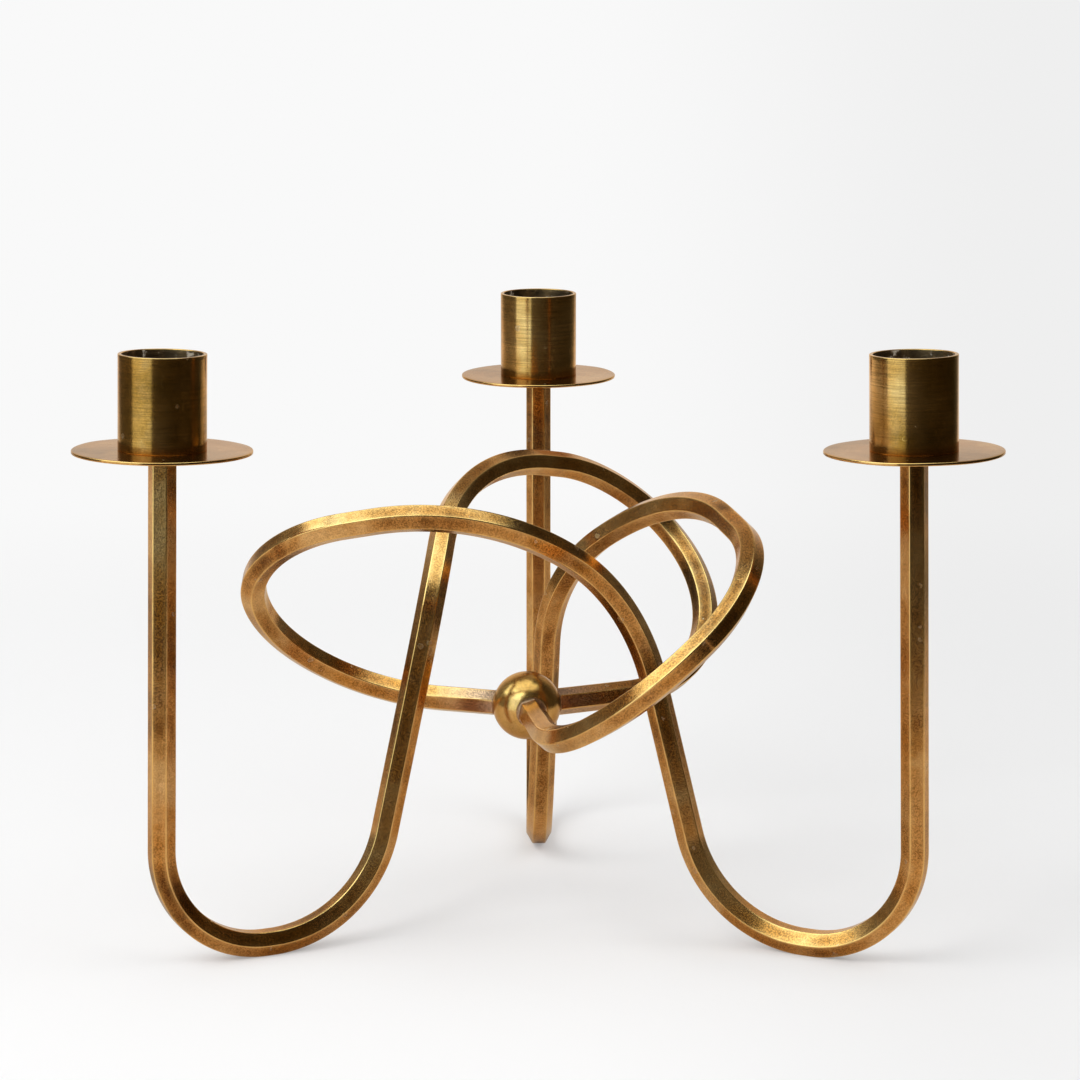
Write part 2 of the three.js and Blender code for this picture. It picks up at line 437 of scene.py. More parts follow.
@dataclass(frozen=True)
class Brass:
    """Aged brass, from deep patina to clean metal, with grain, worn corners with a painted highlight, tool
    marks and a thin film.
    """

    name: str
    lay: Lay
    deep: tuple[float, float, float] = (0.125, 0.044, 0.009)
    patina: tuple[float, float, float] = (0.31, 0.122, 0.028)
    fresh: tuple[float, float, float] = (0.5, 0.232, 0.066)
    clean: tuple[float, float, float] = (0.66, 0.37, 0.14)
    warm: tuple[float, float, float] = (0.5, 0.175, 0.02)
    haze: tuple[float, float, float] = (0.4, 0.26, 0.15)
    streak: tuple[float, float, float] = (0.13, 0.06, 0.014)
    # Colour of the bright corners and scratches: rubbed clean metal, and on the corners also a painted edge
    # highlight
    bright: tuple[float, float, float] = (0.8, 0.46, 0.16)
    drop: tuple[float, float, float] = (0.62, 0.54, 0.42)
    heated: tuple[float, float, float] = (0.45, 0.28, 0.19)
    heated_share: float = 0.0
    roughness: float = 0.18
    blotch_share: float = 0.22
    warm_share: float = 0.4
    haze_share: float = 0.12
    grain: float = 0.46
    grain_depth: float = 1.4
    line_depth: float = 1.0
    line_tone: float = 0.08
    line_dark: float = 0.2
    line_pitch: float = 2200.0
    drop_share: float = 0.07
    film: float = 0.04
    edge: tuple[float, float, float] = (0.95, 0.85, 0.7)
    lay_stretch: float = 0.022
    plain_scale: float = 900.0
    tone_stops: tuple[float, float, float, float] = (0.08, 0.32, 0.66, 0.92)
    line_range: tuple[float, float] = (0.42, 0.6)
    grain_fade: tuple[float, float] = (0.4, 0.8)
    grain_left: float = 0.5
    ring_share: float = 0.35
    ring_rough: float = 0.3
    ring_height: float = 1.5
    inside_share: float = 0.25
    inside_rough: float = 0.14
    bright_share: float = 0.9
    bright_gloss: float = 0.04
    scratch_share: float = 0.4
    scratch_depth: float = 1.2
    rough_start: float = 0.03
    tone_gloss: float = 0.05
    grain_rough: float = 0.04
    relief: float = 0.002 * MM
    film_roughness: float = 0.24

    def lay_vector(self, board: Board) -> Socket:
        """Gives coordinates in which the tool marks are drawn out along their way.

        Args:
            board: Board of the material.

        Returns:
            Vector for the tool lines.
        """
        across, along = self.line_pitch, self.line_pitch * self.lay_stretch
        if self.lay is Lay.ALONG_BAR:
            bar = board.add("ShaderNodeUVMap", uv_map="BarMap").outputs["UV"]
            return board.stretch(bar, (across, along, 1.0))
        place = board.add("ShaderNodeTexCoord").outputs["Object"]
        if self.lay is Lay.ROUND_WALL:
            return board.stretch(place, (along, along, across))
        if self.lay is Lay.FACED:
            flat = board.stretch(place, (1.0, 1.0, 0.0))
            radius = board.add("ShaderNodeVectorMath", {0: flat}, operation="LENGTH").outputs["Value"]
            parts = board.add("ShaderNodeSeparateXYZ", {0: board.stretch(flat, (along, along, 0.0))})
            drawn = board.math("MULTIPLY", radius, across)
            inputs = {"X": parts.outputs["X"], "Y": parts.outputs["Y"], "Z": drawn}
            return board.add("ShaderNodeCombineXYZ", inputs).outputs[0]
        return board.stretch(place, (self.plain_scale,) * 3)

    def material(self, effects: Effects) -> bpy.types.Material:
        """Builds the material.

        Args:
            effects: The shared groups.

        Returns:
            The material.
        """
        made, board = blank_material(self.name)
        place = board.own_place()
        corner = board.add("ShaderNodeAttribute", attribute_name="corner").outputs["Fac"]
        near_flame = board.add("ShaderNodeAttribute", attribute_name="heated").outputs["Fac"]
        mottle = board.group(effects.mottle, {"Vector": place}).outputs
        drops = board.group(effects.marks, {"Vector": place, "Share": self.drop_share}).outputs
        # Corner mask: partly rubbed wear, partly a painted edge highlight
        bright = board.group(effects.wear, {"Vector": place, "Corner": corner}).outputs["Bright"]
        lines = board.group(effects.lines, {"Vector": self.lay_vector(board)}).outputs
        scratch = board.group(effects.hairlines, {"Vector": place}).outputs["Scratch"]
        grain = mottle["Grain"]

        uneven = board.math("MULTIPLY", mottle["Blotches"], self.blotch_share)
        clouds = board.math("MULTIPLY", mottle["Clouds"], 1.0 - self.blotch_share)
        tone = board.math("ADD", clouds, uneven)
        shades = (self.deep, self.patina, self.fresh, self.clean)
        colour = board.ramp(tone, tuple(zip(self.tone_stops, shades)))
        colour = board.tint(colour, mottle["Warmth"], self.warm_share, self.warm)
        colour = board.tint(colour, mottle["Film"], self.haze_share, self.haze)
        fine = board.span(lines["Fine"], *self.line_range)
        colour = board.tint(colour, fine, self.line_tone, self.streak)
        colour = board.tint(colour, lines["Dark"], self.line_dark, self.streak)
        colour = board.tint(colour, near_flame, self.heated_share, self.heated)
        fade = board.span(tone, *self.grain_fade, 1.0, self.grain_left)
        speckle = board.math("MULTIPLY", board.math("SUBTRACT", grain, 0.5), fade)
        speckle = board.math("MULTIPLY", speckle, 2.0 * self.grain)
        colour = board.dim(colour, board.math("ADD", speckle, 1.0))
        ring = board.math("MULTIPLY", drops["Ring"], self.ring_share)
        colour = board.blend(ring, colour, self.drop)
        colour = board.tint(colour, drops["Inside"], self.inside_share, self.haze)
        # Corners lightened, partly rubbed wear and partly a painted edge highlight; the hairline scratches
        # use the same colour
        colour = board.tint(colour, bright, self.bright_share, self.bright)
        colour = board.tint(colour, scratch, self.scratch_share, self.bright)

        rough = board.total(self.roughness + self.rough_start, (
            (tone, -self.tone_gloss), (grain, self.grain_rough), (ring, self.ring_rough),
            (drops["Inside"], self.inside_rough), (bright, -self.bright_gloss),
        ))
        height = board.total(0.0, (
            (lines["Fine"], self.line_depth), (grain, self.grain_depth),
            (ring, self.ring_height), (scratch, -self.scratch_depth),
        ))
        inputs = {
            "Base Color": colour, "Roughness": rough, "Normal": board.bump(height, self.relief),
            "Metallic": 1.0, "Specular Tint": self.edge, "Coat Weight": self.film,
            "Coat Roughness": self.film_roughness,
        }
        board.end(board.add("ShaderNodeBsdfPrincipled", inputs))
        return made


@dataclass(frozen=True)
class WaxySoot:
    """The inside of a cup: brass gone dark, with specks and smears of old wax."""

    name: str = "waxy_inside"
    dark: tuple[float, float, float] = (0.085, 0.052, 0.026)
    brown: tuple[float, float, float] = (0.3, 0.17, 0.07)
    wax: tuple[float, float, float] = (0.55, 0.47, 0.36)
    red_wax: tuple[float, float, float] = (0.34, 0.085, 0.04)
    cloud_scale: float = 110.0
    blotch_scale: float = 420.0
    smear_scale: float = 260.0
    red_scale: float = 90.0
    wax_range: tuple[float, float] = (0.56, 0.66)
    red_range: tuple[float, float] = (0.54, 0.62)
    bare_range: tuple[float, float] = (0.54, 0.62)
    bare_metal: float = 0.9
    rough_range: tuple[float, float] = (0.4, 0.66)
    roughness: tuple[float, float] = (0.34, 0.56)
    smear_height: float = 6.0
    relief: float = 0.02 * MM

    def material(self, effects: Effects) -> bpy.types.Material:
        """Builds the material.

        Args:
            effects: The shared groups.

        Returns:
            The material.
        """
        made, board = blank_material(self.name)
        place = board.own_place()
        scales = {"Clouds Scale": self.cloud_scale, "Blotches Scale": self.blotch_scale}
        mottle = board.group(effects.mottle, {"Vector": place, **scales}).outputs
        smear = board.noise(place, self.smear_scale, 6.0, 0.7)
        wax = board.span(smear, *self.wax_range)
        red = board.span(board.noise(place, self.red_scale, 2.0, 0.5), *self.red_range)
        colour = board.blend(mottle["Clouds"], self.dark, self.brown)
        colour = board.blend(mottle["Blotches"], colour, self.dark)
        colour = board.blend(wax, colour, board.blend(red, self.wax, self.red_wax))
        height = board.total(mottle["Grain"], ((smear, self.smear_height),))
        inputs = {
            "Base Color": colour, "Roughness": board.span(smear, *self.rough_range, *self.roughness),
            "Metallic": board.span(smear, *self.bare_range, self.bare_metal, 0.0),
            "Normal": board.bump(height, self.relief),
        }
        board.end(board.add("ShaderNodeBsdfPrincipled", inputs))
        return made


@dataclass
class RingSkin:
    """A closed mesh made of rings of points, each with a mask for its worn corners, which also carry a
    painted highlight.
    """

    rings: list[list[Vector]] = field(default_factory=list)
    corner: list[list[float]] = field(default_factory=list)
    heat: list[float] = field(default_factory=list)
    inside_from: int | None = None
    least_step: float = 0.1 * MM
    map_margin: float = 0.01
    map_width: float = 0.97

    def add(self, points: list[Vector], corner: list[float] | float = 0.0, heat: float = 0.0) -> None:
        """Adds the next ring.

        Args:
            points: Points of the ring, as many as in every other ring.
            corner: How much each point lies on a worn corner with a painted highlight, from 0 to 1, or one
                value for all.
            heat: How much the brazing flame has greyed the ring, from 0 to 1.
        """
        self.rings.append(points)
        self.corner.append(corner if isinstance(corner, list) else [corner] * len(points))
        self.heat.append(heat)

    def mesh(self, name: str, looped: bool) -> bpy.types.Mesh:
        """Joins the rings.

        Args:
            name: Name of the mesh.
            looped: True to join the last ring to the first, False to close both ends.

        Returns:
            The mesh, with its maps and its corner mask.
        """
        build = bmesh.new()
        sides = len(self.rings[0])
        mask = build.verts.layers.float.new("corner")
        heated = build.verts.layers.float.new("heated")
        bar_map = build.loops.layers.uv.new("BarMap")
        bake_map = build.loops.layers.uv.new("OFBake")
        rows = []
        for points, corners, heat in zip(self.rings, self.corner, self.heat):
            row = [build.verts.new(point) for point in points]
            for vert, value in zip(row, corners):
                vert[mask] = value
                vert[heated] = heat
            rows.append(row)
        reach = [0.0]
        for before, after in zip(self.rings, self.rings[1:] + self.rings[:1]):
            step = sum((b - a).length for a, b in zip(before, after)) / sides
            reach.append(reach[-1] + max(step, self.least_step))
        last = len(rows) if looped else len(rows) - 1
        girth = max(sum((b - a).length for a, b in zip(r, r[1:] + r[:1])) for r in self.rings)
        columns = max(1, round(math.sqrt(reach[last] / girth)))
        height = reach[last] / columns
        for i in range(last):
            below, above = rows[i], rows[(i + 1) % len(rows)]
            column = min(int(reach[i] / height), columns - 1)
            for k in range(sides):
                n = (k + 1) % sides
                face = build.faces.new((below[k], below[n], above[n], above[k]))
                face.smooth = True
                if self.inside_from is not None and i >= self.inside_from:
                    face.material_index = 1
                sweep = ((k, reach[i]), (k + 1, reach[i]), (k + 1, reach[i + 1]), (k, reach[i + 1]))
                for loop, (turn, along) in zip(face.loops, sweep):
                    loop[bar_map].uv = (turn / sides * girth, along)
                    across = column + self.map_margin + self.map_width * turn / sides
                    upward = self.map_margin + self.map_width * (along / height - column)
                    loop[bake_map].uv = (across / columns, upward)
        if not looped:
            for row in (rows[0][::-1], rows[-1]):
                centre = build.verts.new(sum((v.co for v in row), Vector()) / sides)
                for k in range(sides):
                    build.faces.new((row[k], row[(k + 1) % sides], centre))
        bmesh.ops.recalc_face_normals(build, faces=build.faces)
        made = bpy.data.meshes.new(name)
        build.to_mesh(made)
        build.free()
        made.set_sharp_from_angle(angle=SHARP_ANGLE)
        return made


def rounded(profile: list[tuple[float, float]], radius: float, pitch: float) -> Profile:
    """Rounds the corners of a closed profile and divides its long sides.

    Args:
        profile: Corners as (radius from the axis, height).
        radius: Radius of each corner.
        pitch: Longest part of a side.

    Returns:
        Points as (radius, height, how much the point lies on a corner).
    """
    corners = [Vector(point) for point in profile]
    points: Profile = []
    for i, here in enumerate(corners):
        before = corners[i - 1] - here
        after = corners[(i + 1) % len(corners)] - here
        cut = min(radius, before.length * LARGEST_CUT, after.length * LARGEST_CUT)
        start = here + before.normalized() * cut
        end = here + after.normalized() * cut
        if points:
            points += side_points(Vector(points[-1][:2]), start, pitch)
        for step in range(CORNER_PARTS + 1):
            share = step / CORNER_PARTS
            curved = start.lerp(here, share).lerp(here.lerp(end, share), share)
            points.append((curved.x, curved.y, math.sin(math.pi * share)))
    points += side_points(Vector(points[-1][:2]), Vector(points[0][:2]), pitch)
    return points


def side_points(start: Vector, end: Vector, pitch: float) -> Profile:
    """Divides a straight side.

    Args:
        start: Where it starts.
        end: Where it ends.
        pitch: Longest part.

    Returns:
        The points between its ends.
    """
    parts = max(1, math.ceil((end - start).length / pitch))
    inner = [start.lerp(end, k / parts) for k in range(1, parts)]
    return [(point.x, point.y, 0.0) for point in inner]


def ring_at(radius: float, height: float, sides: int) -> list[Vector]:
    """Gives a level ring of points round the upright axis."""
    turns = (math.tau * k / sides for k in range(sides))
    return [Vector((radius * math.cos(t), radius * math.sin(t), height)) for t in turns]


def show(
    name: str, mesh: bpy.types.Mesh, at: Matrix, finish: list, node: str | None
) -> None:
    """Puts a mesh in the scene as a piece of the part.

    Args:
        name: Name of the piece.
        mesh: Its mesh, in its own coordinates.
        at: Where it stands.
        finish: Its materials.
        node: The frame's node that it stands for, if any.
    """
    mesh.transform(at.to_3x3().to_4x4())
    piece = add_object(name, mesh)
    piece.location = at.translation
    for material in finish:
        mesh.materials.append(material)
    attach(piece, BODY)
    if node:
        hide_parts(node)
    log.info("%s: %d points", name, len(mesh.vertices))


@dataclass(frozen=True)
class Layout:
    """Where the arms and the ball stand, with the arms' axis worked out from the frame."""

    back_angle: float = math.radians(90)
    left_angle: float = math.radians(205)
    right_angle: float = math.radians(334.5)
    foot_reach: float = 117 * MM
    stem_top: float = 146.5 * MM
    stem_lean: float = math.radians(1.1)
    ground: float = 3.5 * MM
    ball_right: float = -3.5 * MM
    ball_height: float = 64 * MM
    cup_middle: float = 14.2 * MM

    def angle(self, place: Place) -> float:
        """Gives the way that an arm points."""
        return for_place(place, self.back_angle, self.left_angle, self.right_angle)

    def top_reach(self) -> float:
        """Gives how far out the top of a leaning stem stands."""
        return self.foot_reach - (self.stem_top - self.ground) * math.tan(self.stem_lean)

    def axis(self) -> Vector:
        """Finds the arms' upright axis from the middle of the back cup.

        Returns:
            A point of the axis on the table.
        """
        low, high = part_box("back_candle_cup")
        out = Vector((math.cos(self.back_angle), math.sin(self.back_angle), 0.0))
        reach = self.top_reach() - self.cup_middle * math.sin(self.stem_lean)
        middle = (low + high) / 2 - out * reach
        return Vector((middle.x, middle.y, 0.0))

    def arm(self, place: Place) -> Matrix:
        """Gives the frame of an arm, with +X out along the arm and Z up the arms' axis."""
        return Matrix.Translation(self.axis()) @ Matrix.Rotation(self.angle(place), 4, "Z")

    def stem(self, place: Place, up: float) -> Matrix:
        """Gives the frame of a turned piece on a leaning stem, with its foot at the origin.

        Args:
            place: Which arm.
            up: How far up the stem's own axis the foot lies from the top of the stem.

        Returns:
            Its matrix.
        """
        top = Matrix.Translation((self.top_reach(), 0.0, self.stem_top))
        leaning = top @ Matrix.Rotation(-self.stem_lean, 4, "Y")
        return self.arm(place) @ leaning @ Matrix.Translation((0.0, 0.0, up))

    def ball(self) -> Vector:
        """Gives the ball's middle."""
        return self.axis() + Vector((self.ball_right, 0.0, self.ball_height))

    def ball_from_arm(self, place: Place) -> Vector:
        """Gives the ball's middle in the frame of an arm."""
        ball = Vector((self.ball_right, 0.0, self.ball_height))
        return Matrix.Rotation(-self.angle(place), 3, "Z") @ ball


@dataclass(frozen=True)
class Station:
    """A place on the rod's route with the bar's own directions."""

    point: Vector
    across: Vector
    sideways: Vector

    def at(self, across: float, sideways: float) -> Vector:
        """Gives the point at two distances from the middle of the bar."""
        return self.point + self.across * across + self.sideways * sideways


@dataclass(frozen=True)
class Bend:
    """A corner of a rod's route as its arm sees it, with the radius of the bend there."""

    out: float
    side: float
    up: float
    radius: float
    lifted: bool = False


@dataclass(frozen=True)
class BentRod:
    """A rod of hexagonal bar bent along the route, with softened corners that are worn and carry a painted
    highlight.
    """

    layout: Layout
    place: Place
    flats: float = 7 * MM
    corner_radius: float = 0.38 * MM
    corner_hold: float = 0.14 * MM
    # Share of the rubbed wear and painted edge highlight just beside each corner
    hold_wear_highlight: float = 0.25
    corner_shares: tuple[float, ...] = (0.0, 0.33, 0.67, 1.0)
    flat_shares: tuple[float, ...] = (0.36, 0.64)
    foot_outer_bend: float = 30 * MM
    foot_inner_reach: float = 55.5 * MM
    foot_inner_bend: float = 36.5 * MM
    loop: tuple[Bend, ...] = (
        Bend(32.5 * MM, -3.5 * MM, 97.5 * MM, 56 * MM),
        Bend(7 * MM, -43.5 * MM, 131.5 * MM, 63 * MM, lifted=True),
        Bend(-61.5 * MM, -65 * MM, 118.5 * MM, 36 * MM, lifted=True),
        Bend(-75.5 * MM, -30.5 * MM, 84.5 * MM, 43 * MM),
        Bend(-51 * MM, -4.5 * MM, 63.5 * MM, 42 * MM),
    )
    shoulder: float = 9.3 * MM
    flame_reach: float = 19 * MM
    spigot_radius: float = 2.25 * MM
    spigot_end: float = 4 * MM
    bore_radius: float = 2.3 * MM
    bore_depth: float = 11 * MM
    chamfer: float = 0.6 * MM
    chamfer_height: float = 1.1 * MM
    chamfer_parts: int = 9
    chamfer_clear: float = 0.2 * MM
    bore_edge: float = 0.2 * MM
    face_edge: float = 0.15 * MM
    face_drop: float = 0.08 * MM
    step: float = 1.1 * MM
    unevenness: float = 0.035 * MM
    uneven_length: float = 16 * MM
    uneven_turn: float = 1.3
    seeds: tuple[float, float, float] = (3.1, 17.7, 29.3)
    loop_lifts: tuple[float, float, float] = (-2 * MM, 1.5 * MM, 0.0)

    def loop_lift(self) -> float:
        """Gives how much higher this hand-bent loop stands than the route."""
        return for_place(self.place, *self.loop_lifts)

    def section(self) -> list[tuple[float, float, float]]:
        """Gives the bar's section with softened corners.

        Returns:
            Points as (across, sideways, how much the point lies on a corner).
        """
        reach = self.flats / math.sqrt(3)
        corners = []
        for side in range(6):
            turn = math.radians(30 + 60 * side)
            corners.append(Vector((reach * math.cos(turn), reach * math.sin(turn))))
        cut = self.corner_radius * math.tan(math.radians(30))
        points = []
        for i, here in enumerate(corners):
            to_before = (corners[i - 1] - here).normalized()
            to_after = (corners[(i + 1) % 6] - here).normalized()
            start, end = here + to_before * cut, here + to_after * cut
            points.append((*(start + to_before * self.corner_hold), self.hold_wear_highlight))
            for share in self.corner_shares:
                curved = start.lerp(here, share).lerp(here.lerp(end, share), share)
                points.append((*curved, 1.0))
            points.append((*(end + to_after * self.corner_hold), self.hold_wear_highlight))
            flat = corners[(i + 1) % 6] - here
            points += [(*(here + flat * share), 0.0) for share in self.flat_shares]
        return points

    def corners(self) -> list[tuple[Vector, float]]:
        """Gives the corners of the route, from the top of the stem to the ball.

        Returns:
            Each corner's place and the radius of its bend.
        """
        layout = self.layout
        made = [
            (Vector((layout.top_reach(), 0.0, layout.stem_top)), 0.0),
            (Vector((layout.foot_reach, 0.0, layout.ground)), self.foot_outer_bend),
            (Vector((self.foot_inner_reach, 0.0, layout.ground)), self.foot_inner_bend),
        ]
        for bend in self.loop:
            up = bend.up + (self.loop_lift() if bend.lifted else 0.0)
            made.append((Vector((bend.out, bend.side, up)), bend.radius))
        made.append((layout.ball_from_arm(self.place), 0.0))
        return made

    def tangents(self, corners: list[tuple[Vector, float]]) -> list[float]:
        """Works out how much of its two legs each bend takes, shared where two bends meet.

        Args:
            corners: Corners of the route.

        Returns:
            The length that each bend takes of its legs.
        """
        legs = [after[0] - before[0] for before, after in zip(corners, corners[1:])]
        wanted = [0.0]
        for i in range(1, len(corners) - 1):
            wanted.append(corners[i][1] * math.tan(legs[i - 1].angle(legs[i]) / 2))
        wanted.append(0.0)
        shared = [0.0]
        for i in range(1, len(corners) - 1):
            room = [legs[k].length / (wanted[k] + wanted[k + 1]) for k in (i - 1, i)]
            shared.append(wanted[i] * min(1.0, *room))
        return shared + [0.0]

    def stations(self) -> list[Station]:
        """Walks the route, turning the bar's directions about the axis of each bend.

        Returns:
            Stations about one step apart, from the top of the stem to the shoulder at the ball.
        """
        corners = self.corners()
        tangents = self.tangents(corners)
        lean = self.layout.stem_lean
        across, sideways = Vector((math.cos(lean), 0.0, math.sin(lean))), Vector((0.0, -1.0, 0.0))
        made = [Station(corners[0][0], across, sideways)]

        def straight_to(point: Vector) -> None:
            """Adds stations on a straight leg up to a point."""
            start = made[-1].point
            parts = max(1, math.ceil((point - start).length / self.step))
            for k in range(1, parts + 1):
                made.append(Station(start.lerp(point, k / parts), across, sideways))

        for i in range(1, len(corners) - 1):
            here = corners[i][0]
            arrive = (here - corners[i - 1][0]).normalized()
            leave = (corners[i + 1][0] - here).normalized()
            axis = arrive.cross(leave).normalized()
            turning = arrive.angle(leave)
            radius = tangents[i] / math.tan(turning / 2)
            start = here - arrive * tangents[i]
            inward = axis.cross(arrive)
            centre = start + inward * radius
            straight_to(start)
            parts = max(2, math.ceil(turning * radius / self.step))
            first_across, first_sideways = across, sideways
            for k in range(1, parts + 1):
                turn = Quaternion(axis, turning * k / parts)
                across, sideways = turn @ first_across, turn @ first_sideways
                made.append(Station(centre + turn @ (inward * -radius), across, sideways))
        end, before = corners[-1][0], corners[-2][0]
        straight_to(end + (before - end).normalized() * self.shoulder)
        return made

    def out_of_ball(self) -> Vector:
        """Gives the way that the rod leaves the ball."""
        corners = self.corners()
        return (corners[-2][0] - corners[-1][0]).normalized()

    def ring(self, station: Station, along: float = 0.0, seed: float = 0.0) -> list[Vector]:
        """Puts the section at a station, a little uneven as a drawn and bent bar is.

        Args:
            station: Where.
            along: How far along the rod the station lies.
            seed: Number that sets this rod's unevenness.

        Returns:
            The ring's points.
        """
        points = []
        for a, b, _ in self.section():
            turn = math.atan2(b, a)
            east, north = self.uneven_turn * math.cos(turn), self.uneven_turn * math.sin(turn)
            spot = Vector((along / self.uneven_length, east + seed, north))
            slack = self.unevenness * (0.5 + 0.5 * noise.noise(spot)) / math.hypot(a, b)
            size = 1.0 - slack
            points.append(station.at(a * size, b * size))
        return points

    def round_ring(self, station: Station, radius: float) -> list[Vector]:
        """Gives a round ring with one point for each point of the section.

        Args:
            station: Where.
            radius: Its radius.

        Returns:
            The ring's points.
        """
        points = []
        for a, b, _ in self.section():
            size = radius / math.hypot(a, b)
            points.append(station.at(a * size, b * size))
        return points

    def top_rings(self, skin: RingSkin, top: Station) -> None:
        """Adds the bore for the screw and the turned chamfer at the top of the stem.

        Args:
            skin: Skin to add them to.
            top: First station of the rod.
        """
        lean = self.layout.stem_lean
        down = Vector((math.sin(lean), 0.0, -math.cos(lean)))
        face = self.flats / 2 - self.chamfer

        def lowered(depth: float) -> Station:
            """Gives the top station moved down the stem."""
            return Station(top.point + down * depth, top.across, top.sideways)

        skin.add(self.round_ring(lowered(self.bore_depth), self.bore_radius))
        skin.add(self.round_ring(lowered(self.bore_edge), self.bore_radius))
        skin.add(self.round_ring(top, self.bore_radius + self.bore_edge), 0.5)
        skin.add(self.round_ring(top, face - self.face_edge), 0.6)
        skin.add(self.round_ring(lowered(self.face_drop), face), 1.0)
        for k in range(1, self.chamfer_parts + 1):
            depth = self.chamfer_height * k / self.chamfer_parts
            limit = face + 2 * self.chamfer * depth / self.chamfer_height
            hexagon = self.ring(lowered(depth))
            middle = lowered(depth).point
            points = []
            for point in hexagon:
                away = point - middle
                points.append(middle + away * min(1.0, limit / away.length))
            skin.add(points, [0.5 if (p - middle).length < limit else 1.0 for p in hexagon])

    def build(self) -> bpy.types.Mesh:
        """Builds the rod's mesh in the arm's frame.

        Returns:
            The mesh.
        """
        seed = for_place(self.place, *self.seeds)
        stations = self.stations()
        corner = [mask for _, _, mask in self.section()]
        ball = self.layout.ball_from_arm(self.place)
        skin = RingSkin()
        self.top_rings(skin, stations[0])
        along = 0.0
        for before, station in zip(stations, stations[1:]):
            along += (station.point - before.point).length
            if along > self.chamfer_height + self.chamfer_clear:
                from_ball = (station.point - ball).length - self.shoulder
                heat = max(0.0, 1.0 - from_ball / self.flame_reach)
                skin.add(self.ring(station, along=along, seed=seed), corner, heat)
        end = stations[-1]
        inward = -self.out_of_ball()
        skin.add(self.round_ring(end, self.spigot_radius))
        tip = Station(end.point + inward * (self.shoulder - self.spigot_end), end.across, end.sideways)
        skin.add(self.round_ring(tip, self.spigot_radius))
        return skin.mesh(f"{self.place.value}_rod", looped=False)


@dataclass(frozen=True)
class DripPan:
    """A thin turned disc with a softened rim, very slightly out of flat."""

    radius: float = 24.94 * MM
    thickness: float = 0.9 * MM
    edge: float = 0.3 * MM
    hole: float = 2.3 * MM
    seat: float = 13 * MM
    warp: float = 0.1 * MM
    warp_length: float = 14 * MM
    pitch: float = 1.2 * MM
    seeds: tuple[float, float, float] = (2.0, 5.0, 9.0)
    sides: int = 144

    def build(self, place: Place) -> bpy.types.Mesh:
        """Builds the pan's mesh on its own axis.

        Args:
            place: Which arm, which sets its warp.

        Returns:
            The mesh.
        """
        seed = for_place(place, *self.seeds)
        profile = [
            (self.hole, 0.0),
            (self.radius, 0.0),
            (self.radius, self.thickness),
            (self.hole, self.thickness),
        ]
        skin = RingSkin()
        for radius, height, corner in rounded(profile, self.edge, self.pitch):
            points = ring_at(radius, height, self.sides)
            loose = max(0.0, (radius - self.seat) / (self.radius - self.seat)) ** 2
            for point in points:
                way = Vector((point.x, point.y, seed * MM)) / self.warp_length
                point.z += self.warp * loose * noise.noise(way)
            skin.add(points, corner if radius > self.seat else 0.0)
        return skin.mesh(f"{place.value}_drip_pan", looped=True)


@dataclass(frozen=True)
class CandleCup:
    """A turned cup with a thin floor and an inside gone dark with wax."""

    radius: float = 12.25 * MM
    wall: float = 1 * MM
    height: float = 26.6 * MM
    floor: float = 1.2 * MM
    hole: float = 2.3 * MM
    edge: float = 0.22 * MM
    wax: float = 0.12 * MM
    wax_length: float = 2.2 * MM
    clean_lip: float = 0.5 * MM
    pitch: float = 0.9 * MM
    slack: float = 0.01 * MM
    seeds: tuple[float, float, float] = (1.0, 4.0, 8.0)
    sides: int = 144

    def build(self, place: Place) -> bpy.types.Mesh:
        """Builds the cup's mesh on its own axis.

        Args:
            place: Which arm, which sets where the wax lies.

        Returns:
            The mesh, with the inside as its second material.
        """
        seed = for_place(place, *self.seeds)
        inner = self.radius - self.wall
        profile = [
            (self.hole, 0.0),
            (self.radius, 0.0),
            (self.radius, self.height),
            (inner, self.height),
            (inner, self.floor),
            (self.hole, self.floor),
        ]
        skin = RingSkin()
        rim_passed = False
        for radius, height, corner in rounded(profile, self.edge, self.pitch):
            rim_passed = rim_passed or (radius < inner + self.slack and height > self.height / 2)
            if rim_passed and skin.inside_from is None:
                skin.inside_from = len(skin.rings)
            points = ring_at(radius, height, self.sides)
            if rim_passed and radius > self.radius / 2 and height < self.height - self.clean_lip:
                for point in points:
                    crust = noise.noise(Vector((point.x, point.y, point.z + seed)) / self.wax_length)
                    point.xy *= 1.0 - self.wax / inner * max(0.0, crust)
            skin.add(points, corner if radius > self.radius / 2 else 0.0)
        return skin.mesh(f"{place.value}_candle_cup", looped=True)


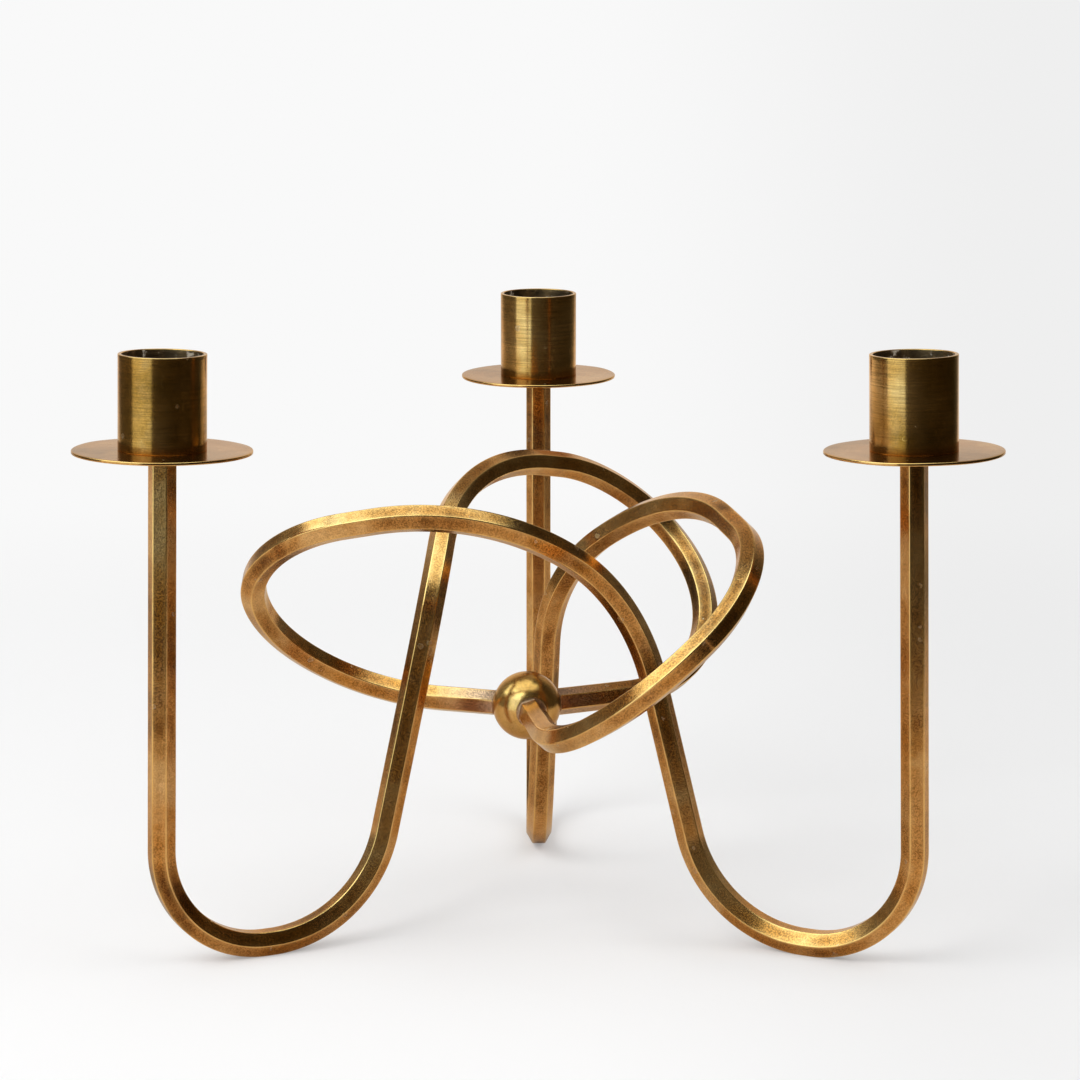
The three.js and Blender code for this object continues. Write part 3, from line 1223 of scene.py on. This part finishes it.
@dataclass(frozen=True)
class CupScrew:
    """A slotted screw whose head holds the cup down."""

    head: float = 4 * MM
    head_height: float = 2.2 * MM
    shank: float = 2 * MM
    thread: float = 9 * MM
    reach: float = 11.1 * MM
    slot_width: float = 1.1 * MM
    slot_depth: float = 1 * MM
    slot_turns: tuple[float, float, float] = (0.5, 1.9, 2.8)
    tip_chamfer: float = 0.5 * MM
    head_edge: float = 0.15 * MM
    head_wall: float = 0.45
    dome_parts: int = 14
    sides: int = 96

    def build(self, place: Place) -> bpy.types.Mesh:
        """Builds the screw's mesh on its own axis, with its tip at the origin.

        Args:
            place: Which arm, which sets how far its slot is turned.

        Returns:
            The mesh.
        """
        turn = for_place(place, *self.slot_turns)
        skin = RingSkin()
        skin.add(ring_at(self.shank - self.tip_chamfer, 0.0, self.sides))
        skin.add(ring_at(self.shank, self.tip_chamfer, self.sides))
        skin.add(ring_at(self.shank, self.reach, self.sides))
        skin.add(ring_at(self.head - self.head_edge, self.reach, self.sides), 1.0)
        skin.add(ring_at(self.head, self.reach + self.head_edge, self.sides), 1.0)
        rise = self.head_height * self.head_wall
        skin.add(ring_at(self.head, self.reach + rise, self.sides), 0.6)
        for k in range(1, self.dome_parts):
            angle = math.pi / 2 * k / self.dome_parts
            height = self.reach + rise + (self.head_height - rise) * math.sin(angle)
            skin.add(ring_at(self.head * math.cos(angle), height, self.sides), 0.2)
        solid = skin.mesh(f"{place.value}_cup_screw", looped=False)
        cutter = bpy.data.meshes.new("slot_cutter")
        build = bmesh.new()
        size = (self.head * 3, self.slot_width, self.slot_depth * 2)
        at = Matrix.Translation((0.0, 0.0, self.reach + self.head_height)) @ Matrix.Rotation(turn, 4, "Z")
        bmesh.ops.create_cube(build, size=1.0, matrix=at @ Matrix.Diagonal((*size, 1.0)))
        build.to_mesh(cutter)
        build.free()
        return self.cut(solid, cutter)

    def cut(self, solid: bpy.types.Mesh, cutter: bpy.types.Mesh) -> bpy.types.Mesh:
        """Cuts one mesh out of another.

        Args:
            solid: Mesh to cut.
            cutter: Mesh that is taken away.

        Returns:
            The cut mesh, under the solid's name.
        """
        pair = [add_object("cut_work", mesh) for mesh in (solid, cutter)]
        modifier = pair[0].modifiers.new("slot", "BOOLEAN")
        modifier.operation = "DIFFERENCE"
        modifier.solver = "EXACT"
        modifier.object = pair[1]
        graph = bpy.context.evaluated_depsgraph_get()
        result = bpy.data.meshes.new_from_object(pair[0].evaluated_get(graph))
        name = solid.name
        for piece in pair:
            bpy.data.objects.remove(piece)
        bpy.data.meshes.remove(solid)
        bpy.data.meshes.remove(cutter)
        result.name = name
        result.set_sharp_from_angle(angle=SHARP_ANGLE)
        return result


@dataclass(frozen=True)
class CentreBall:
    """The polished ball with a flat for each rod, and the braze round each joint."""

    radius: float = 10 * MM
    seat_radius: float = 4.35 * MM
    sides: int = 128
    braze_foot: float = 4.5 * MM
    braze_length: float = 0.7 * MM
    braze_parts: int = 10
    braze_flare: float = 2.2
    braze_start: tuple[float, float] = (0.72, 0.7)
    start_size: float = 0.8
    bar_size: float = 1.004
    ball_overlap: float = 0.02 * MM
    lump: float = 0.1 * MM
    lump_scale: float = 2.2
    end_depth: float = 0.5 * MM
    end_size: float = 0.6
    seeds: tuple[float, float, float] = (6.0, 11.0, 16.0)

    def seat_reach(self) -> float:
        """Gives how far the flat for a rod lies from the ball's middle."""
        return math.sqrt(self.radius**2 - self.seat_radius**2)

    def build(self, seats: list[Vector]) -> bpy.types.Mesh:
        """Builds the ball's mesh round the origin.

        Args:
            seats: Unit vectors towards the rods.

        Returns:
            The mesh.
        """
        reach = self.seat_reach()
        skin = RingSkin()
        rows = self.sides // 2
        for k in range(1, rows):
            rise = math.pi * (k / rows - 0.5)
            points = ring_at(self.radius * math.cos(rise), self.radius * math.sin(rise), self.sides)
            for point in points:
                for seat in seats:
                    proud = point.dot(seat) - reach
                    if proud > 0:
                        point -= seat * proud
            skin.add(points)
        return skin.mesh("centre_ball", looped=False)

    def braze(self, rod: BentRod) -> bpy.types.Mesh:
        """Builds the braze where a rod meets the ball, in the arm's frame.

        Args:
            rod: The rod.

        Returns:
            The mesh.
        """
        seed = for_place(rod.place, *self.seeds)
        end = rod.stations()[-1]
        out = rod.out_of_ball()
        ball = rod.layout.ball_from_arm(rod.place)
        section = rod.section()
        skin = RingSkin()
        foot, length = self.braze_foot, self.braze_length
        seat = self.seat_reach()
        rows = [(self.braze_start[0], length * self.braze_start[1])]
        for k in range(self.braze_parts + 1):
            share = k / self.braze_parts
            rows.append((share, (1.0 - share) ** 2 * length))
        for number, (share, height) in enumerate(rows):
            points = []
            for a, b, _ in section:
                reach = math.hypot(a, b)
                bar = reach * (self.start_size if number == 0 else self.bar_size)
                spread = 0.0 if number == 0 else share**self.braze_flare
                radius = bar + (foot - bar) * spread
                surface = math.sqrt(self.radius**2 - min(radius, foot) ** 2)
                level = seat + height
                if number > 0:
                    level = max(surface - self.ball_overlap, level)
                way = end.across * (a / reach) + end.sideways * (b / reach)
                spot = Vector((way.x * self.lump_scale, way.y * self.lump_scale, share * 2 + seed))
                proud = self.lump * noise.noise(spot) * math.sin(math.pi * share)
                points.append(ball + out * level + way * (radius + proud))
            skin.add(points)
        middle = ball + out * (seat - self.end_depth)
        inner = []
        for point in skin.rings[-1]:
            away = point - ball - out * out.dot(point - ball)
            inner.append(middle + away * self.end_size)
        skin.add(inner)
        return skin.mesh(f"{rod.place.value}_braze", looped=True)


@dataclass(frozen=True)
class Card:
    """A bright panel of the studio that only shows in reflections, placed by angles from the part.

    Azimuth 0 is towards the camera and grows to the camera's right.
    """

    name: str
    azimuth: tuple[float, float]
    elevation: tuple[float, float]
    radiance: float
    tint: tuple[float, float, float] = (1.0, 1.32, 1.42)
    distance: float = 1.6
    parts: int = 12

    def build(self) -> None:
        """Builds the panel."""
        parts = self.parts
        points = []
        for i in range(parts + 1):
            rise = math.radians(self.elevation[0] + (self.elevation[1] - self.elevation[0]) * i / parts)
            for k in range(parts + 1):
                turn = math.radians(self.azimuth[0] + (self.azimuth[1] - self.azimuth[0]) * k / parts)
                flat = math.cos(rise)
                way = Vector((math.sin(turn) * flat, -math.cos(turn) * flat, math.sin(rise)))
                points.append(way * self.distance)
        faces = []
        for i in range(parts):
            for k in range(parts):
                a = i * (parts + 1) + k
                faces.append((a, a + 1, a + parts + 2, a + parts + 1))
        mesh = bpy.data.meshes.new(self.name)
        mesh.from_pydata(points, [], faces)
        material, board = blank_material(self.name)
        inputs = {"Color": self.tint, "Strength": self.radiance}
        board.end(board.add("ShaderNodeEmission", inputs))
        mesh.materials.append(material)
        panel = add_object(self.name, mesh)
        panel.visible_camera = False
        panel.visible_diffuse = False
        panel.visible_transmission = False
        panel.visible_volume_scatter = False
        panel.visible_shadow = False


@dataclass(frozen=True)
class Studio:
    """Pale table, soft lamps, the panels that the brass mirrors, and the camera."""

    camera_place: tuple[float, float, float] = (-0.5 * MM, -939.5 * MM, 279.1 * MM)
    camera_dip: float = 0.14
    camera_turn: float = -0.0012
    focal_pixels: float = 3160.4
    photo_pixels: float = 1080.0
    sensor: float = 36.0
    down_shift_pixels: float = 128.8
    # Backdrop darker towards the right: painted shade for light falling from the left
    backdrop_left: tuple[float, float, float] = (0.947, 0.947, 0.947)
    backdrop_right: tuple[float, float, float] = (0.863, 0.863, 0.863)
    backdrop_reach: tuple[float, float] = (0.0, 0.16)
    backdrop_fade: tuple[float, float] = (0.0, 0.5)
    least_back: float = 0.05
    mirrored_room: tuple = (
        (-180, (1.0, 0.96, 0.9)),
        (-154, (0.95, 0.92, 0.86)),
        (-140, (0.5, 0.5, 0.48)),
        (-126, (0.28, 0.3, 0.29)),
        (-100, (0.27, 0.29, 0.28)),
        (-24, (0.26, 0.28, 0.26)),
        (0, (0.175, 0.185, 0.165)),
        (30, (0.095, 0.092, 0.065)),
        (60, (0.085, 0.078, 0.05)),
        (112, (0.09, 0.085, 0.06)),
        (124, (0.14, 0.16, 0.16)),
        (140, (0.4, 0.41, 0.4)),
        (155, (0.8, 0.78, 0.74)),
        (180, (1.0, 0.96, 0.9)),
    )
    low_room_share: float = 0.55
    low_room_reach: tuple[float, float] = (-0.1, 0.3)
    rear_reach: tuple[float, float] = (math.radians(128), math.radians(148))
    ceiling_share: float = 0.4
    ceiling_reach: tuple[float, float] = (0.5, 0.85)
    table_glow: float = 0.3
    table_glow_reach: tuple[float, float] = (0.25, 0.75)
    # Table colour darker towards the right: painted shade for light falling from the left
    table_left: tuple[float, float, float] = (0.925, 0.925, 0.925)
    table_right: tuple[float, float, float] = (0.87, 0.87, 0.87)
    mirrored_table: tuple[float, float, float] = (0.78, 0.75, 0.68)
    mirrored_table_far: tuple[float, float, float] = (1.0, 1.0, 0.98)
    mirrored_table_reach: tuple[float, float] = (0.6, 1.2)
    mirrored_glow: tuple[float, float, float] = (1.2, 1.15, 1.1)
    mirrored_glow_reach: tuple[float, float] = (0.75, 1.15)
    sky: float = 0.62
    cards: tuple = (
        Card("low_window", (-74.0, -42.0), (-14.0, 28.0), 1.36),
        Card("low_window_side", (-42.0, -24.0), (-14.0, 28.0), 1.2),
        Card("side_window", (-106.0, -24.0), (29.0, 44.0), 2.5),
        Card("upper_window", (-115.0, -12.0), (44.0, 59.0), 2.6),
        Card("overhead", (-130.0, 98.0), (61.0, 74.0), 2.2),
        Card("zenith", (-180.0, 180.0), (74.0, 90.0), 2.15),
    )
    tops: tuple = (
        ("table", (-0.95, -0.4), (0.45, 1.3)),
        ("table_rear_right", (0.45, 0.45), (0.8, 1.3)),
        ("floor_front", (-40.0, -40.0), (40.0, -0.4)),
        ("floor_left", (-40.0, -0.4), (-0.95, 1.3)),
        ("floor_right", (0.45, -0.4), (40.0, 0.45)),
        ("floor_rear_right", (0.8, 0.45), (40.0, 1.3)),
        ("floor_back", (-40.0, 1.3), (40.0, 60.0)),
    )
    lamps: tuple = (
        ("key_lamp", (-0.9, -0.7, 1.3), 1.1, 14.0),
        ("fill_lamp", (1.0, -0.4, 1.2), 1.2, 5.0),
    )
    lamp_aim: tuple[float, float, float] = (0.0, 0.0, 0.08)
    clip: tuple[float, float] = (0.05, 200.0)

    def shaded(
        self, board: Board, right: Socket, back: Socket, left_colour: Colour, right_colour: Colour
    ) -> Socket:
        """Paints a pale surface a little darker towards the right, a painted shade for light that falls
        from the left.

        Args:
            board: Board of the tree.
            right: How far to the right of the photograph's place, as a length or a direction.
            back: How far behind it, on the same scale, with no shade before it.
            left_colour: Colour at the left.
            right_colour: Colour at the right.

        Returns:
            The colour.
        """
        slope = board.math("DIVIDE", right, board.math("MAXIMUM", back, self.least_back))
        behind = board.span(back, *self.backdrop_fade)
        share = board.math("MULTIPLY", board.span(slope, *self.backdrop_reach), behind)
        return board.blend(share, left_colour, right_colour)

    def world(self) -> None:
        """Builds the surroundings: pale for the camera, a dark room with a pale rear for the brass."""
        made = bpy.data.worlds.new("studio")
        bpy.context.scene.world = made
        made.use_nodes = True
        made.node_tree.nodes.clear()
        board = Board(made.node_tree)
        way = board.add("ShaderNodeTexCoord").outputs["Generated"]
        parts = board.add("ShaderNodeSeparateXYZ", {0: way})
        forward = board.math("MULTIPLY", parts.outputs["Y"], -1.0)
        azimuth = board.math("ARCTAN2", parts.outputs["X"], forward)
        turn = board.math("ADD", board.math("DIVIDE", azimuth, math.tau), 0.5)
        stops = tuple((degrees / 360 + 0.5, colour) for degrees, colour in self.mirrored_room)
        around = board.ramp(turn, stops)
        rise = parts.outputs["Z"]
        low = board.span(rise, *self.low_room_reach, self.low_room_share, 1.0)
        rear = board.span(board.math("ABSOLUTE", azimuth), *self.rear_reach)
        low = board.math("MAXIMUM", low, rear)
        high = board.span(rise, *self.ceiling_reach, 1.0, self.ceiling_share)
        mirrored = board.dim(around, board.math("MULTIPLY", low, high))
        path = board.add("ShaderNodeLightPath")
        across, back = parts.outputs["X"], parts.outputs["Y"]
        backdrop = self.shaded(board, across, back, self.backdrop_left, self.backdrop_right)
        ambient = (self.sky, self.sky, self.sky)
        seen = board.math("ADD", path.outputs["Is Glossy Ray"], path.outputs["Is Transmission Ray"], True)
        colour = board.blend(seen, ambient, mirrored)
        colour = board.blend(path.outputs["Is Camera Ray"], colour, backdrop)
        background = board.add("ShaderNodeBackground", {"Color": colour, "Strength": 1.0})
        board.end(background, "ShaderNodeOutputWorld")

    def table_material(self) -> bpy.types.Material:
        """Builds the pale table top, which fades into the backdrop far from the part.

        Returns:
            The material.
        """
        made, board = blank_material("pale_table")
        place = board.add("ShaderNodeNewGeometry").outputs["Position"]
        parts = board.add("ShaderNodeSeparateXYZ", {0: place})
        right = board.math("SUBTRACT", parts.outputs["X"], self.camera_place[0])
        back = board.math("SUBTRACT", parts.outputs["Y"], self.camera_place[1])
        backdrop = self.shaded(board, right, back, self.backdrop_left, self.backdrop_right)
        path = board.add("ShaderNodeLightPath")
        away = board.add("ShaderNodeVectorMath", {0: place}, operation="LENGTH").outputs["Value"]
        distant = board.span(away, *self.mirrored_table_reach)
        mirrored = board.blend(distant, self.mirrored_table, self.mirrored_table_far)
        own = self.shaded(board, right, back, self.table_left, self.table_right)
        white = board.blend(path.outputs["Is Glossy Ray"], own, mirrored)
        surface = board.add("ShaderNodeBsdfDiffuse", {"Color": white})
        shining = board.blend(path.outputs["Is Glossy Ray"], backdrop, self.mirrored_glow)
        glow = board.add("ShaderNodeEmission", {"Color": shining})
        far = board.span(away, *self.table_glow_reach, self.table_glow, 1.0)
        share = board.math("MULTIPLY", far, path.outputs["Is Camera Ray"])
        farther = board.span(away, *self.mirrored_glow_reach)
        share = board.math("ADD", share, board.math("MULTIPLY", farther, path.outputs["Is Glossy Ray"]))
        mixed = board.add("ShaderNodeMixShader", {0: share, 1: surface.outputs[0], 2: glow.outputs[0]})
        board.end(mixed)
        return made

    def tables(self) -> None:
        """Lays the table that the brass mirrors, and the wider floor that only the camera sees."""
        material = self.table_material()
        for name, (x0, y0), (x1, y1) in self.tops:
            mesh = bpy.data.meshes.new(name)
            mesh.from_pydata([(x0, y0, 0), (x1, y0, 0), (x1, y1, 0), (x0, y1, 0)], [], [(0, 1, 2, 3)])
            mesh.materials.append(material)
            top = add_object(name, mesh)
            top.visible_glossy = name.startswith("table")

    def lamp(self, name: str, at: tuple, size: float, power: float) -> None:
        """Hangs a soft lamp that shines at the part.

        Args:
            name: Its name.
            at: Where it hangs.
            size: Side of its square.
            power: Its power in watts.
        """
        light = bpy.data.lights.new(name, "AREA")
        light.size = size
        light.energy = power
        hung = add_object(name, light)
        hung.location = at
        aim = Vector(self.lamp_aim) - Vector(at)
        hung.rotation_mode = "QUATERNION"
        hung.rotation_quaternion = aim.to_track_quat("-Z", "Y")
        hung.visible_glossy = False
        hung.visible_camera = False

    def camera(self) -> None:
        """Sets the camera where the photograph was taken from."""
        data = bpy.data.cameras.new("photo_view")
        data.sensor_width = self.sensor
        data.lens = self.focal_pixels / self.photo_pixels * self.sensor
        data.shift_y = -self.down_shift_pixels / self.photo_pixels
        data.clip_start, data.clip_end = self.clip
        view = add_object("photo_view", data)
        view.location = self.camera_place
        view.rotation_euler = (math.pi / 2 - self.camera_dip, 0.0, self.camera_turn)
        bpy.context.scene.camera = view

    def build(self) -> None:
        """Sets up everything round the part."""
        bpy.context.scene.view_settings.view_transform = "Standard"
        self.camera()
        self.world()
        self.tables()
        for card in self.cards:
            card.build()
        for name, at, size, power in self.lamps:
            self.lamp(name, at, size, power)


@dataclass(frozen=True)
class Finishes:
    """The finish of each kind of piece."""

    bar: Brass = Brass(
        "bar_brass", Lay.ALONG_BAR, heated_share=0.9, line_depth=0.4, line_dark=0.08,
    )
    pan: Brass = Brass(
        "pan_brass", Lay.FACED, deep=(0.26, 0.11, 0.03), patina=(0.4, 0.19, 0.055), roughness=0.13,
        warm_share=0.3, grain=0.15, grain_depth=0.8, line_depth=0.6, line_dark=0.1, drop_share=0.05,
        edge=(0.8, 0.71, 0.59),
    )
    cup: Brass = Brass(
        "cup_brass", Lay.ROUND_WALL,
        deep=(0.26, 0.12, 0.022), patina=(0.4, 0.185, 0.04), fresh=(0.55, 0.28, 0.08),
        clean=(0.66, 0.37, 0.13), roughness=0.14, warm_share=0.3, grain=0.14, grain_depth=0.5,
        line_depth=1.0, line_tone=0.36, line_dark=0.1, line_pitch=3300.0, drop_share=0.05, film=0.0,
    )
    ball: Brass = Brass(
        "ball_brass", Lay.NONE,
        deep=(0.3, 0.13, 0.03), patina=(0.46, 0.22, 0.055), fresh=(0.62, 0.34, 0.1),
        roughness=0.2, warm_share=0.25, grain=0.14, grain_depth=0.8, line_depth=0.2,
        line_dark=0.0, drop_share=0.03,
    )
    braze: Brass = Brass(
        "braze", Lay.NONE,
        deep=(0.22, 0.11, 0.05), patina=(0.32, 0.165, 0.085),
        fresh=(0.42, 0.23, 0.125), clean=(0.5, 0.3, 0.18),
        roughness=0.4, warm_share=0.15, grain_depth=2.5, line_dark=0.0, drop_share=0.0,
    )
    screw: Brass = Brass(
        "screw_brass", Lay.FACED,
        deep=(0.14, 0.07, 0.02), patina=(0.26, 0.15, 0.05), fresh=(0.42, 0.26, 0.1), roughness=0.28,
        drop_share=0.2,
    )
    inside: WaxySoot = WaxySoot()


def dress(layout: Layout, finishes: Finishes, effects: Effects) -> None:
    """Builds every piece and puts it in its place.

    Args:
        layout: Where the arms stand.
        finishes: The finishes.
        effects: The shared groups.
    """
    bar, pan, cup, ball, braze, screw, inside = (
        finish.material(effects)
        for finish in (
            finishes.bar, finishes.pan, finishes.cup, finishes.ball, finishes.braze, finishes.screw,
            finishes.inside,
        )
    )
    centre = CentreBall()
    drip_pan, candle_cup, cup_screw = DripPan(), CandleCup(), CupScrew()
    seats = []
    for place in Place:
        arm = layout.arm(place)
        label = place.value
        rod = BentRod(layout, place)
        show(f"{label}_rod_bar", rod.build(), arm, [bar], f"{label}_rod")
        show(f"{label}_braze", centre.braze(rod), arm, [braze], None)
        seats.append((arm.to_3x3() @ rod.out_of_ball()).normalized())
        for kind, slot, finish, build, up in (
            ("drip_pan", Slot.PAN, [pan], drip_pan.build, 0.0),
            ("candle_cup", Slot.CUP, [cup, inside], candle_cup.build, drip_pan.thickness),
            ("cup_screw", Slot.SCREW, [screw], cup_screw.build, -cup_screw.thread),
        ):
            node = f"{label}_{kind}"
            show(f"{node}_turned", build(place), layout.stem(place, up), finish, node)
    at = Matrix.Translation(layout.ball())
    show("centre_ball_polished", centre.build(seats), at, [ball], "centre_ball")


def main() -> None:
    """Builds the studio and the part."""
    logging.basicConfig(level=logging.INFO, format="%(name)s: %(message)s")
    Studio().build()
    dress(Layout(), Finishes(), Effects())


if __name__ == "__main__":
    main()
